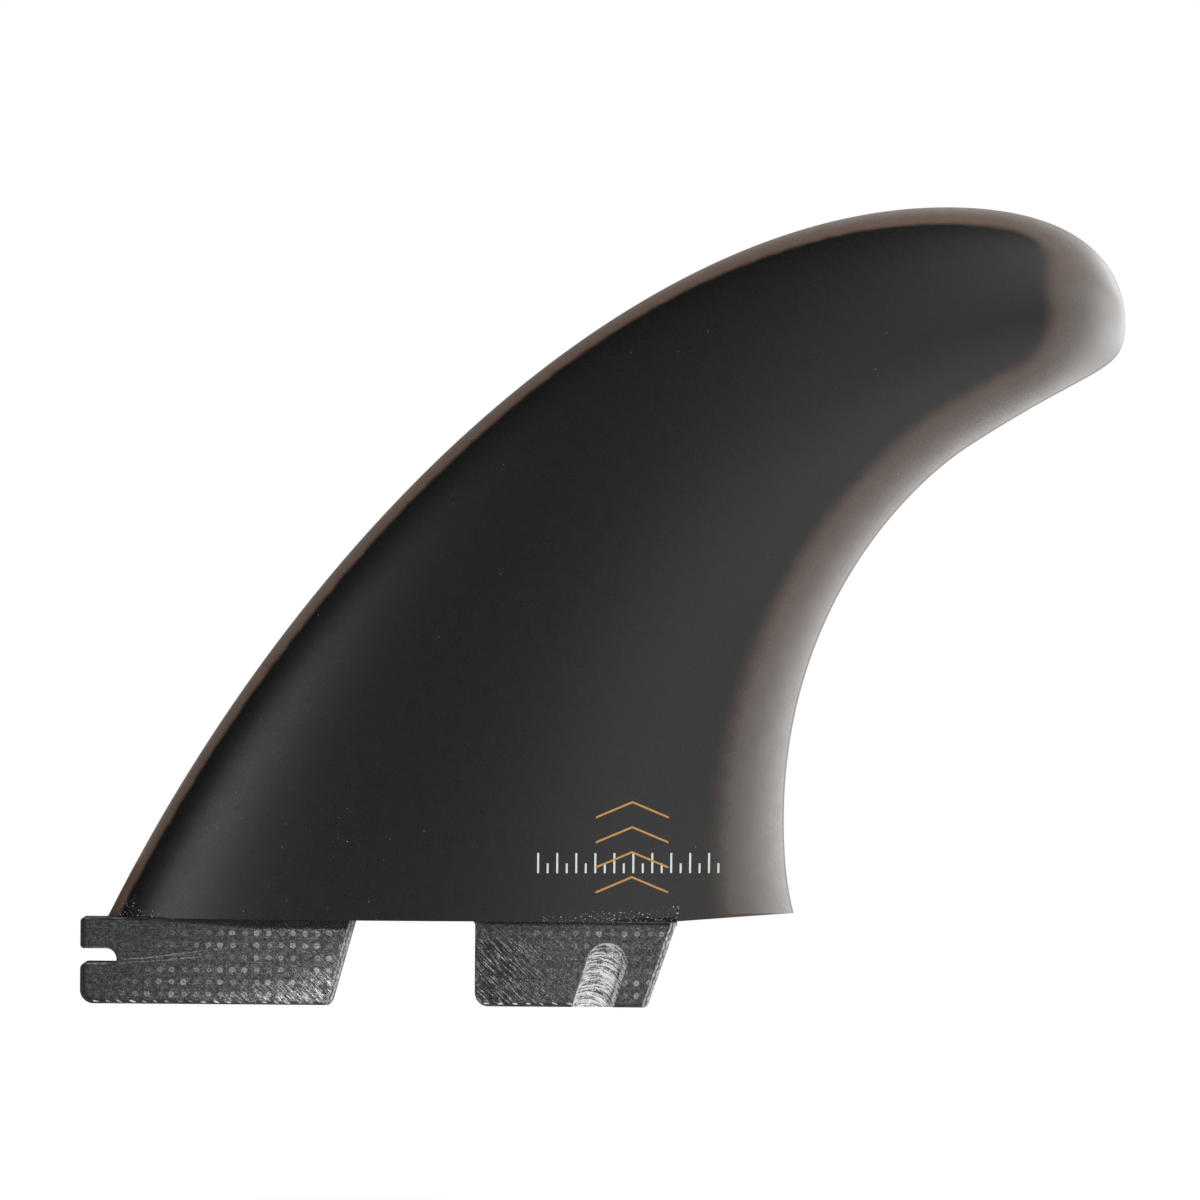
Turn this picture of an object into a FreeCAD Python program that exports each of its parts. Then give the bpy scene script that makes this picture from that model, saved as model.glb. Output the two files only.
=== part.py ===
import FreeCAD, Part
import math
import os

# Surfboard side fin, moulded in one piece from glass cloth and resin: a raked, foiled blade
# that stands on two tabs, which plug into a box in the board.
# X runs along the base from the leading edge back, Z stands up from the hull and Y goes across
# the fin. The origin lies on the hull plane, midway between the tabs and midway through them.
# The foiled outer face of the blade looks toward -Y, and its inner face is flat.
# Lengths are in millimetres and angles in degrees.

# Tabs
tab_gap = 19.1                 # clear gap between the tabs at the hull plane
tab_depth = 13.7               # how far the tabs reach below the hull plane
tab_thickness = 6.2            # slot width of the box, less its play
front_tab_length = 44.0        # along the hull plane, hook included
rear_tab_length = 32.3         # along the hull plane
front_tab_slant = 15.5         # lean of its rear wall from the vertical
rear_tab_slant = 18.9
heel_radius = 2.2              # lower front corner of either tab
toe_radius = 1.0               # lower rear corner of either tab
root_radius = 0.8              # hollow corner where a tab wall meets the blade
edge_break = 0.4               # bevel round the faces of the tabs
wall_break = 0.9               # wider bevel down their slanted walls

# Hook at the front of the front tab, which catches a pin in the box
hook_length = 4.0              # how far the tab stands ahead of the leading edge
notch_top = 4.9                # upper wall of the notch, below the hull plane
notch_height = 2.3
notch_depth = 5.8              # from the front of the tab to the end of the notch
notch_radius = 1.7             # upper inner corner, which seats on the pin
lip_radius = 1.0               # corner of the lower lip that the pin rides over
prong_radius = 0.6             # front corners of the prong above the notch
ledge_outside = 12.2           # bevelled top of the tab ahead of the blade, on its outer face
ledge_inside = 3.6             # and on its inner face

# Groove milled in the outer face of the rear tab, which the latch of the box drops into
groove_from_wall = 21.1        # from the front wall of the rear tab to the groove's round end
groove_drop = 6.6              # the centre of the round end, below the hull plane
groove_radius = 3.2
groove_cut = 1.4               # depth into the face
groove_flank = 0.9             # sloped flank along the edge of its floor
groove_slant = 17.4            # lean of the groove from the vertical

# Blade outline, seen from the side. Each node is where two curves meet without a kink, and a
# reach is the length of the handle that draws the curve out of it.
base_chord = 110.2
leading_angle = 63.9           # rise of the leading edge out of the hull plane
leading_reach = 71.1
rake = 134.4                   # leading edge at the base to the highest point, along the base
blade_depth = 115.0            # hull plane to the highest point
crown_reach_front = 48.7
crown_reach_back = 25.6
tip_overhang = 28.4            # highest point to the rearmost point, along the base
tip_drop = 18.3                # highest point to the rearmost point, down
tip_reach_up = 5.2
tip_reach_down = 8.5
hollow_run = 25.3              # rearmost point to the head of the hollow trailing edge, along
hollow_drop = 20.3             # and down
hollow_angle = 33.5            # slope of the trailing edge there
hollow_reach_tip = 25.7
hollow_reach_root = 8.65
waist_inset = 1.7              # how far the trailing edge draws in above its foot
waist_height = 16.8
waist_reach_up = 35.7
waist_reach_down = 10.2
foot_rise = 1.3                # relief under the trailing corner, which clears the hull's curve

# Foil of the blade, one rule for every chord from the base to the tip
blade_thickness = 9.0          # at the crest of the base chord
thinning = 0.6                 # power of the chord that the thickness follows
inner_face_proud = 0.3         # the blade's flat face stands outside the tabs' inner faces
crest_share = 0.40             # thickest place, as a share of the chord
crest_flatness = 0.48          # handles of the crest, as a share of the run before and behind it
nose_share = 0.16              # height of the leading edge off the flat face, of the thickness
nose_fullness = 0.68           # handle of the nose, of the thickness above it
nose_run = 0.14                # length of the eased edge under the nose, of the thickness
tail_reach = 0.37              # handle of the tail, as a share of the run behind the crest
tail_rise = 0.40               # rise of that handle, of the thickness
trailing_edge = 0.8            # thickness of the trailing edge at the base
chord_count = 20               # foil sections from the base to the tip
last_chord = 0.995             # place of the last one, as a share of the way to the tip

# Resin shoulder that eases the rear tab into the blade, where the blade is the thinner one
shoulder_length = 16.0         # forward from the rear end of the tab
shoulder_height = 2.0
shoulder_width = 2.5
shoulder_root = 0.6            # how deep it is rooted in the tab

# Places that follow from the sizes above
front_tab_rear = -tab_gap / 2
front_tab_front = front_tab_rear - front_tab_length
rear_tab_front = tab_gap / 2
rear_tab_rear = rear_tab_front + rear_tab_length
half_tab = tab_thickness / 2
inner_face_y = half_tab + inner_face_proud
leading_root = front_tab_front + hook_length
trailing_root = leading_root + base_chord
beyond = 10.0                  # how far a cutter reaches past what it cuts
cutter_width = 2.7             # from the slope of a wall bevel's cutter to its far sides
close = 0.001                  # two places nearer than this are the same


def point(x, z, y=0.0):
    return FreeCAD.Vector(x, y, z)


def toward(angle, length):
    # a step of the given length at an angle above the base, in the plane of the outline
    turn = math.radians(angle)
    return point(math.cos(turn) * length, math.sin(turn) * length)


def bezier(*poles):
    curve = Part.BezierCurve()
    curve.setPoles(list(poles))
    return curve.toShape()


def segment(start, end):
    return Part.LineSegment(start, end).toShape()


def arc(start, middle, end):
    return Part.Arc(start, middle, end).toShape()


def prism(outline, depth_from, depth_to):
    # a flat outline in the XZ plane, drawn out along Y
    face = Part.Face(outline)
    face.translate(FreeCAD.Vector(0, depth_from, 0))
    return face.extrude(FreeCAD.Vector(0, depth_to - depth_from, 0))


def middle_of(edge):
    return edge.valueAt((edge.FirstParameter + edge.LastParameter) / 2)


def leading_curve():
    # from the base, over the crown, to the rearmost point of the tip
    root = point(leading_root, 0)
    crown = point(leading_root + rake, blade_depth)
    tip = point(crown.x + tip_overhang, crown.z - tip_drop)
    rise = bezier(root, root + toward(leading_angle, leading_reach),
                  crown - toward(0, crown_reach_front), crown)
    fall = bezier(crown, crown + toward(0, crown_reach_back),
                  tip + toward(90, tip_reach_up), tip)
    return [rise, fall]


def trailing_curve():
    # from the foot, up the waist and round the hollow, to the rearmost point of the tip
    foot = point(trailing_root, 0)
    waist = point(trailing_root - waist_inset, waist_height)
    tip = point(leading_root + rake + tip_overhang, blade_depth - tip_drop)
    hollow = point(tip.x - hollow_run, tip.z - hollow_drop)
    heel = bezier(foot, foot, waist - toward(90, waist_reach_down), waist)
    back = bezier(waist, waist + toward(90, waist_reach_up),
                  hollow - toward(hollow_angle, hollow_reach_root), hollow)
    under = bezier(hollow, hollow + toward(hollow_angle, hollow_reach_tip),
                   tip - toward(90, tip_reach_down), tip)
    return [heel, back, under]


def point_along(curve, share):
    # the point at a share of the length of a chain of edges
    distance = share * sum(edge.Length for edge in curve)
    for edge in curve[:-1]:
        if distance <= edge.Length:
            return edge.valueAt(edge.getParameterByLength(distance))
        distance = distance - edge.Length
    return curve[-1].valueAt(curve[-1].getParameterByLength(distance))


def foil_section(lead, trail):
    # one closed section across the blade, on the chord from the leading to the trailing edge:
    # a full nose, a crest and a thin tail outside, and a flat inner face, whose front edge is
    # eased by two flats that follow a quarter ellipse
    along = trail - lead
    chord = along.Length
    along.normalize()
    thickness = blade_thickness * (chord / base_chord) ** thinning
    edge = trailing_edge * math.sqrt(thickness / blade_thickness)
    nose = nose_share * thickness
    under_nose = nose_run * thickness
    crest = crest_share * chord
    halfway = 1 - math.sqrt(0.5)

    def place(run, height):
        spot = lead + along * run
        return point(spot.x, spot.z, inner_face_y - height)

    outer = Part.BSplineCurve()
    outer.buildFromPolesMultsKnots(
        [place(0, nose),
         place(0, nose + nose_fullness * (thickness - nose)),
         place(crest * (1 - crest_flatness), thickness),
         place(crest + (chord - crest) * crest_flatness, thickness),
         place(chord - tail_reach * (chord - crest), edge + tail_rise * thickness),
         place(chord, edge)],
        [4, 2, 4], [0.0, crest_share, 1.0], False, 3)
    return Part.Wire([
        outer.toShape(),
        segment(place(chord, edge), place(chord, 0)),
        segment(place(chord, 0), place(under_nose, 0)),
        segment(place(under_nose, 0), place(under_nose * halfway, nose * halfway)),
        segment(place(under_nose * halfway, nose * halfway), place(0, nose))])


def foot_relief():
    # wedge that lifts the underside of the blade behind the rear tab
    end = trailing_root + beyond
    rise = foot_rise * (end - rear_tab_rear) / (trailing_root - rear_tab_rear)
    outline = Part.makePolygon([point(rear_tab_rear, 0), point(end, -beyond),
                                point(end, rise), point(rear_tab_rear, 0)])
    return prism(outline, -blade_thickness, blade_thickness)


def blade():
    # the sections fan out from the base chord to the tip, at like shares of both edges and
    # closer together toward the tip, and one smooth skin runs through them
    lead = leading_curve()
    trail = trailing_curve()
    sections = []
    for step in range(chord_count):
        share = last_chord * math.sin(math.pi / 2 * step / (chord_count - 1))
        sections.append(foil_section(point_along(lead, share), point_along(trail, share)))
    return Part.makeLoft(sections, True, False).cut(foot_relief())


def rounded_outline(corners):
    # a closed outline with straight sides, from corners given as (point, radius)
    starts = []
    ends = []
    sides = []
    for index, (corner, radius) in enumerate(corners):
        before = corners[index - 1][0] - corner
        after = corners[(index + 1) % len(corners)][0] - corner
        half = before.getAngle(after) / 2
        before.normalize()
        after.normalize()
        starts.append(corner + before * (radius / math.tan(half)))
        ends.append(corner + after * (radius / math.tan(half)))
        if index > 0:
            sides.append(segment(ends[index - 1], starts[index]))
        if radius > 0:
            middle = before + after
            middle.normalize()
            inset = radius / math.sin(half) - radius
            sides.append(arc(starts[index], corner + middle * inset, ends[index]))
    sides.append(segment(ends[-1], starts[0]))
    return Part.Wire(sides)


def toe_place(top_x, slant):
    # where the slanted rear wall of a tab comes down to its bottom
    return point(top_x - tab_depth * math.tan(math.radians(slant)), -tab_depth)


def bevel_faces(tab):
    # bevel the edges round both faces of a tab; the bevel runs on round a rounded top corner,
    # and stops at a square one
    edges = []
    for edge in tab.Edges:
        in_face = all(abs(abs(vertex.Point.y) - half_tab) < close for vertex in edge.Vertexes)
        if in_face and middle_of(edge).z < -close:
            edges.append(edge)
    return tab.makeChamfer(edge_break, edges)


def wall_bevels(top_x, slant):
    # bars that cut the wide bevels down both edges of a slanted wall
    down = toward(-90 - slant, 1)
    out = toward(-slant, 1)
    start = point(top_x, 0) - down * beyond
    bars = []
    for side in (-1, 1):
        across = FreeCAD.Vector(0, side, 0)
        edge = start + across * half_tab
        corner = edge + (out + across) * wall_break
        triangle = Part.makePolygon([corner, corner - out * cutter_width,
                                     corner - across * cutter_width, corner])
        bars.append(Part.Face(triangle).extrude(down * (tab_depth + beyond * 3)))
    return bars


def under_blade():
    # block behind the ledge of the front tab, where the blade stands on the tab's full width
    outside = front_tab_front + ledge_outside
    inside = front_tab_front + ledge_inside
    plan = Part.makePolygon([
        FreeCAD.Vector(outside, -half_tab, 0),
        FreeCAD.Vector(front_tab_rear, -half_tab, 0),
        FreeCAD.Vector(front_tab_rear, half_tab, 0),
        FreeCAD.Vector(inside, half_tab, 0),
        FreeCAD.Vector(outside, -half_tab, 0)])
    return Part.Face(plan).extrude(FreeCAD.Vector(0, 0, -edge_break * 2))


def front_tab():
    notch_end = front_tab_front + notch_depth
    notch_bottom = notch_top + notch_height
    outline = rounded_outline([
        (point(front_tab_front, 0), prong_radius),
        (point(front_tab_rear, 0), 0),
        (toe_place(front_tab_rear, front_tab_slant), toe_radius),
        (point(front_tab_front, -tab_depth), heel_radius),
        (point(front_tab_front, -notch_bottom), lip_radius),
        (point(notch_end, -notch_bottom), 0),
        (point(notch_end, -notch_top), notch_radius),
        (point(front_tab_front, -notch_top), prong_radius)])
    square = prism(outline, -half_tab, half_tab)
    tab = bevel_faces(square).fuse(square.common(under_blade()))
    return tab.cut(wall_bevels(front_tab_rear, front_tab_slant))


def latch_groove():
    # path of a cutter with a bevelled nose, open at the bottom of the tab
    down = toward(-90 - groove_slant, 1)
    across = toward(-groove_slant, groove_radius)
    centre = point(rear_tab_front + groove_from_wall, -groove_drop)
    end = centre + down * (tab_depth + beyond)
    outline = Part.Wire([
        arc(centre - across, centre - down * groove_radius, centre + across),
        segment(centre + across, end + across),
        segment(end + across, end - across),
        segment(end - across, centre - across)])
    floor = groove_cut - half_tab
    path = prism(outline, floor, -half_tab - beyond)
    rim = [edge for edge in path.Edges
           if all(abs(vertex.Point.y - floor) < close for vertex in edge.Vertexes)]
    return path.makeChamfer(groove_flank, rim)


def shoulder():
    # wedge of resin along the top of the rear tab's outer face; the blade hides its front part
    slope = Part.makePolygon([
        FreeCAD.Vector(0, -half_tab, -shoulder_root),
        FreeCAD.Vector(0, -half_tab, 0),
        FreeCAD.Vector(0, shoulder_width - half_tab, shoulder_height),
        FreeCAD.Vector(0, inner_face_y, shoulder_height),
        FreeCAD.Vector(0, inner_face_y, 0),
        FreeCAD.Vector(0, half_tab - edge_break, 0),
        FreeCAD.Vector(0, half_tab - edge_break, -shoulder_root),
        FreeCAD.Vector(0, -half_tab, -shoulder_root)])
    face = Part.Face(slope)
    face.translate(point(rear_tab_rear - shoulder_length, 0))
    return face.extrude(point(shoulder_length, 0))


def rear_tab():
    outline = rounded_outline([
        (point(rear_tab_front, 0), 0),
        (point(rear_tab_rear, 0), 0),
        (toe_place(rear_tab_rear, rear_tab_slant), toe_radius),
        (point(rear_tab_front, -tab_depth), heel_radius)])
    tab = bevel_faces(prism(outline, -half_tab, half_tab)).fuse(shoulder())
    return tab.cut(wall_bevels(rear_tab_rear, rear_tab_slant) + [latch_groove()])


def hollow_corners(fin):
    # round out the corners between the tabs' walls and the underside of the blade
    roots = []
    for edge in fin.Edges:
        for wall in (front_tab_rear, rear_tab_front):
            if all(abs(vertex.Point.x - wall) + abs(vertex.Point.z) < close
                   for vertex in edge.Vertexes):
                roots.append(edge)
    return fin.makeFillet(root_radius, roots).Solids[0]


def fin():
    whole = blade().fuse([front_tab(), rear_tab()]).removeSplitter()
    return hollow_corners(whole.Solids[0])


os.makedirs("parts", exist_ok=True)
fin().exportStep("parts/fin.step")
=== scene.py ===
import math

import bmesh
import bpy
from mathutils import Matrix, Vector
from mathutils.bvhtree import BVHTree


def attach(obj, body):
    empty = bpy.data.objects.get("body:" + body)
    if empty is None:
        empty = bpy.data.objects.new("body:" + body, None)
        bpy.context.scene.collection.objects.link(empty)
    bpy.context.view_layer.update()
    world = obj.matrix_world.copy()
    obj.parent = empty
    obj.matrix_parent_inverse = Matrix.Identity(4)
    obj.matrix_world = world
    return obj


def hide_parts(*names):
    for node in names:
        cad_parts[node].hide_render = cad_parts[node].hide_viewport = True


# Looks of a surfboard side fin, moulded in one piece from glass cloth and resin. Metres, in the
# row frame: the base runs along X, the blade stands up along Z, its foiled face looks toward -Y.
# Sizes in the dictionaries are in millimetres and degrees. What changes smoothly along a
# direction is given as a plan: the value at the start, then each change with the stretch it takes.

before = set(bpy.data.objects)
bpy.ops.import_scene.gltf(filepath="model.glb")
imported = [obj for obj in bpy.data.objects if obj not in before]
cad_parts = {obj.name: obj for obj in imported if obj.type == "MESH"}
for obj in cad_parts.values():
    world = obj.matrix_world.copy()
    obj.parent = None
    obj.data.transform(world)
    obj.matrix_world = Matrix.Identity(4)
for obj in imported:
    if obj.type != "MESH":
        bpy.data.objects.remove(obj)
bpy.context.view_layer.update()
scene = bpy.context.scene
mm = 0.001


class Value:
    # one number or vector in a node tree; the usual signs between two of them add the nodes
    def __init__(self, graph, socket):
        self.graph = graph
        self.socket = socket

    def __add__(self, other):
        return self.graph.math("ADD", self, other)

    def __radd__(self, other):
        return self.graph.math("ADD", other, self)

    def __sub__(self, other):
        return self.graph.math("SUBTRACT", self, other)

    def __rsub__(self, other):
        return self.graph.math("SUBTRACT", other, self)

    def __mul__(self, other):
        return self.graph.math("MULTIPLY", self, other)

    def __rmul__(self, other):
        return self.graph.math("MULTIPLY", other, self)

    def __truediv__(self, other):
        return self.graph.math("DIVIDE", self, other)

    def __pow__(self, other):
        return self.graph.math("POWER", self, other)

    def __neg__(self):
        return self.graph.math("MULTIPLY", self, -1.0)


class Graph:
    # a node tree that is written as expressions
    def __init__(self, tree):
        self.tree = tree

    def feed(self, socket, value):
        if isinstance(value, Value):
            self.tree.links.new(value.socket, socket)
        elif isinstance(value, bpy.types.NodeSocket):
            self.tree.links.new(value, socket)
        else:
            socket.default_value = value

    def put(self, kind, settings=None, values=None, output=0):
        # any node: its settings, the values or links of its inputs, and the output wanted
        node = self.tree.nodes.new(kind)
        for name, setting in (settings or {}).items():
            setattr(node, name, setting)
        for name, value in (values or {}).items():
            self.feed(node.inputs[name], value)
        return Value(self, node.outputs[output])

    def math(self, operation, *operands):
        return self.put("ShaderNodeMath", {"operation": operation},
                        dict(enumerate(operands)))

    def vectorMath(self, operation, *operands, output=0):
        return self.put("ShaderNodeVectorMath", {"operation": operation},
                        dict(enumerate(operands)), output)

    def vector(self, x, y, z):
        return self.put("ShaderNodeCombineXYZ", None, {"X": x, "Y": y, "Z": z})

    def split(self, vector):
        node = self.tree.nodes.new("ShaderNodeSeparateXYZ")
        self.feed(node.inputs[0], vector)
        return [Value(self, output) for output in node.outputs]

    def limit(self, value, low=0.0, high=1.0):
        return self.math("MINIMUM", self.math("MAXIMUM", value, low), high)

    def step(self, value, low, high):
        # 0 below low, 1 above high and smooth between, or the other way round if low is larger
        return self.put("ShaderNodeMapRange", {"interpolation_type": "SMOOTHSTEP"},
                        {"Value": value, "From Min": low, "From Max": high})

    def follow(self, plan, value):
        # the plan's start value with each of its changes: how much, from where and to where
        total, *changes = plan
        for amount, low, high in changes:
            total = total + amount * self.step(value, low, high)
        return total

    def attribute(self, name):
        return self.put("ShaderNodeAttribute", {"attribute_name": name}, output="Fac")

    def blend(self, factor, first, second):
        return self.put("ShaderNodeMix", {"data_type": "RGBA"},
                        {0: factor, 6: first, 7: second}, output=2)

    def noise(self, place, scale, detail=2.0, roughness=0.5):
        # about 0.5, from 0 to 1
        return self.put("ShaderNodeTexNoise", None,
                        {"Vector": place, "Scale": scale, "Detail": detail,
                         "Roughness": roughness})

    def chance(self, place):
        # one random number for each place
        return self.put("ShaderNodeTexWhiteNoise", None, {"Vector": place})

    def randomVector(self, low, high, seed):
        return self.put("FunctionNodeRandomValue", {"data_type": "FLOAT_VECTOR"},
                        {"Min": low, "Max": high, "Seed": seed})

    def randomNumber(self, low, high, seed):
        # inputs 2 and 3 and output 1 are the node's ones for a single number
        return self.put("FunctionNodeRandomValue", {"data_type": "FLOAT"},
                        {2: low, 3: high, "Seed": seed}, output=1)

    def band(self, value, middle, halfWidth, blur):
        # 1 within halfWidth of the middle
        away = self.math("ABSOLUTE", value - middle)
        return self.step(away, halfWidth + blur, halfWidth)


def gray(level):
    return (level, level, level, 1.0)


def linear(red, green, blue):
    # a display colour from 0 to 255 as the renderer's linear one
    def one(channel):
        share = channel / 255
        return share / 12.92 if share <= 0.04045 else ((share + 0.055) / 1.055) ** 2.4
    return (one(red), one(green), one(blue), 1.0)


def newMaterial(name):
    material = bpy.data.materials.new(name)
    material.use_nodes = True
    graph = Graph(material.node_tree)
    shader = material.node_tree.nodes["Principled BSDF"]
    position = graph.put("ShaderNodeTexCoord", output="Object")
    place = graph.vectorMath("SCALE", position)
    place.socket.node.inputs["Scale"].default_value = 1 / mm
    return material, graph, shader, place


def dress(piece):
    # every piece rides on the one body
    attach(piece, "root")
    return piece


def shown(name, mesh):
    piece = bpy.data.objects.new(name, mesh)
    scene.collection.objects.link(piece)
    return dress(piece)


def grown(name, tree, sizes, source=None):
    # the plain mesh that a geometry tree makes with these sizes, as an object
    holder = bpy.data.objects.new(name, source or bpy.data.meshes.new(name))
    scene.collection.objects.link(holder)
    modifier = holder.modifiers.new(name, "NODES")
    modifier.node_group = tree
    for item in tree.interface.items_tree:
        if item.in_out == "INPUT" and item.name in sizes:
            modifier[item.identifier] = sizes[item.name]
    depsgraph = bpy.context.evaluated_depsgraph_get()
    mesh = bpy.data.meshes.new_from_object(holder.evaluated_get(depsgraph),
                                           preserve_all_data_layers=True,
                                           depsgraph=depsgraph)
    holder.modifiers.clear()
    holder.data = mesh
    return holder


def newTree(name, sizes, takesGeometry=False):
    # an empty geometry tree with one named input for each size
    tree = bpy.data.node_groups.new(name, "GeometryNodeTree")
    tree.interface.new_socket("Geometry", in_out="OUTPUT", socket_type="NodeSocketGeometry")
    if takesGeometry:
        tree.interface.new_socket("Geometry", in_out="INPUT",
                                  socket_type="NodeSocketGeometry")
    for size, value in sizes.items():
        kind = "NodeSocketInt" if isinstance(value, int) else "NodeSocketFloat"
        socket = tree.interface.new_socket(size, in_out="INPUT", socket_type=kind)
        socket.default_value = value
    graph = Graph(tree)
    source = tree.nodes.new("NodeGroupInput")
    inputs = {output.name: Value(graph, output) for output in source.outputs if output.name}
    return tree, graph, inputs


def finishTree(graph, geometry, material):
    made = graph.put("GeometryNodeRealizeInstances", None, {"Geometry": geometry})
    made = graph.put("GeometryNodeSetMaterial", None,
                     {"Geometry": made, "Material": material})
    end = graph.tree.nodes.new("NodeGroupOutput")
    graph.feed(end.inputs[0], made)


print("materials")
bladeLook = {
    # light lost through the trailing rim: so much per millimetre beyond the clear skin, times
    # a density that grows up the blade and falls again at the tip
    "smoke": 1.25, "clearSkin": 0.3,
    "density": (1.17, (0.45, 0.05, 0.7)), "tipDensity": (1.0, (-0.73, 0.83, 0.955)),
    "tipSmoke": 0.55, "tipEdge": 1.15, "tipEnd": (0.0, (0.5, 0.95, 1.0)),
    # light lost at the blunt leading edge, and per millimetre inward from it
    "leadEdge": (2.05, (0.3, 0.05, 0.2), (1.9, 0.055, 0.02), (-0.95, 0.48, 0.85),
                 (-1.1, 0.87, 1.0)),
    "leadSlope": (2.0, (-0.8, 0.0, 0.25), (-0.2, 0.6, 0.84), (-0.75, 0.84, 0.95)),
    # a painted highlight: the rearmost end of the tip lets more through than its thickness gives,
    # and the thin outline of the edge lets less through
    "tipHighlight": 0.65, "tipHighlightAlong": (105.5, 112.0), "tipHighlightUp": (89.0, 96.0),
    "leastAtTip": 0.38, "contour": 0.5, "contourWidth": (0.34, 0.10),
    # black core: from this thickness times density on, and this far from the leading edge
    "coreStart": 2.55, "coreFull": 3.70, "coreLead": 1.2,
    "coreRun": (1.8, (0.15, 0.1, 0.3), (1.4, 0.5, 0.92), (9.0, 0.87, 0.98)),
    "coreSoft": 0.55, "coreFirm": 0.40,
    # what counts as the leading rim, the upper blade and the tip, across and up the blade
    "leading": (0.45, 0.2), "upper": (0.1, 0.75), "tip": (0.82, 0.95),
    # unevenness and colours
    "mottle": 0.16, "weavePitch": 5.2, "weaveTurn": 0.9,
    "coreDark": (0.0015, 0.0014, 0.0013, 1.0), "coreLight": (0.0085, 0.0083, 0.0080, 1.0),
    "rimColour": (0.051, 0.034, 0.026, 1.0), "warmRim": (0.064, 0.033, 0.014, 1.0),
    "deepRim": (0.108, 0.066, 0.046, 1.0), "tipColour": (0.078, 0.060, 0.048, 1.0),
    "orange": linear(186, 132, 70), "white": linear(206, 216, 213),
    # marks are printed on what lies ahead of this depth, so not on the inner face
    "marksAhead": 3.0, "gloss": 0.29,
}
chevrons = {
    "middle": 34.55, "halfWidth": 5.8, "slope": 0.42, "lowest": 5.1, "pitch": 4.0,
    "count": 4, "line": 0.14,
}
ticks = {
    "from": 18.8, "to": 49.2, "low": 7.75, "high": 10.95, "short": 9.3, "pitch": 1.52,
    "line": 0.13,
}


def chevronMask(graph, x, z):
    # stacked chevrons, each one line wide
    lift = z - chevrons["lowest"] + graph.math("ABSOLUTE", x - chevrons["middle"]) \
        * chevrons["slope"]
    row = graph.math("FLOOR", lift / chevrons["pitch"])
    inRow = graph.math("ABSOLUTE", lift - (row + 0.5) * chevrons["pitch"])
    line = graph.step(inRow, chevrons["line"] + 0.05, chevrons["line"])
    across = graph.step(graph.math("ABSOLUTE", x - chevrons["middle"]),
                        chevrons["halfWidth"] + 0.03, chevrons["halfWidth"])
    rows = graph.math("GREATER_THAN", row, -0.5) \
        * graph.math("LESS_THAN", row, chevrons["count"] - 0.5)
    return line * across * rows


def tickMask(graph, x, z):
    # a row of upright ticks, every other one short
    along = (x - ticks["from"]) / ticks["pitch"]
    number = graph.math("FLOOR", along)
    inTick = graph.math("ABSOLUTE", along - number - 0.5) * ticks["pitch"]
    line = graph.step(inTick, ticks["line"] + 0.05, ticks["line"])
    odd = graph.math("FLOORED_MODULO", number, 2.0)
    top = ticks["high"] - odd * (ticks["high"] - ticks["short"])
    tall = graph.step(z, ticks["low"] - 0.03, ticks["low"] + 0.03) \
        * graph.step(z, top + 0.03, top - 0.03)
    span = graph.math("GREATER_THAN", x, ticks["from"]) \
        * graph.math("LESS_THAN", x, ticks["to"])
    return line * tall * span


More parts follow.
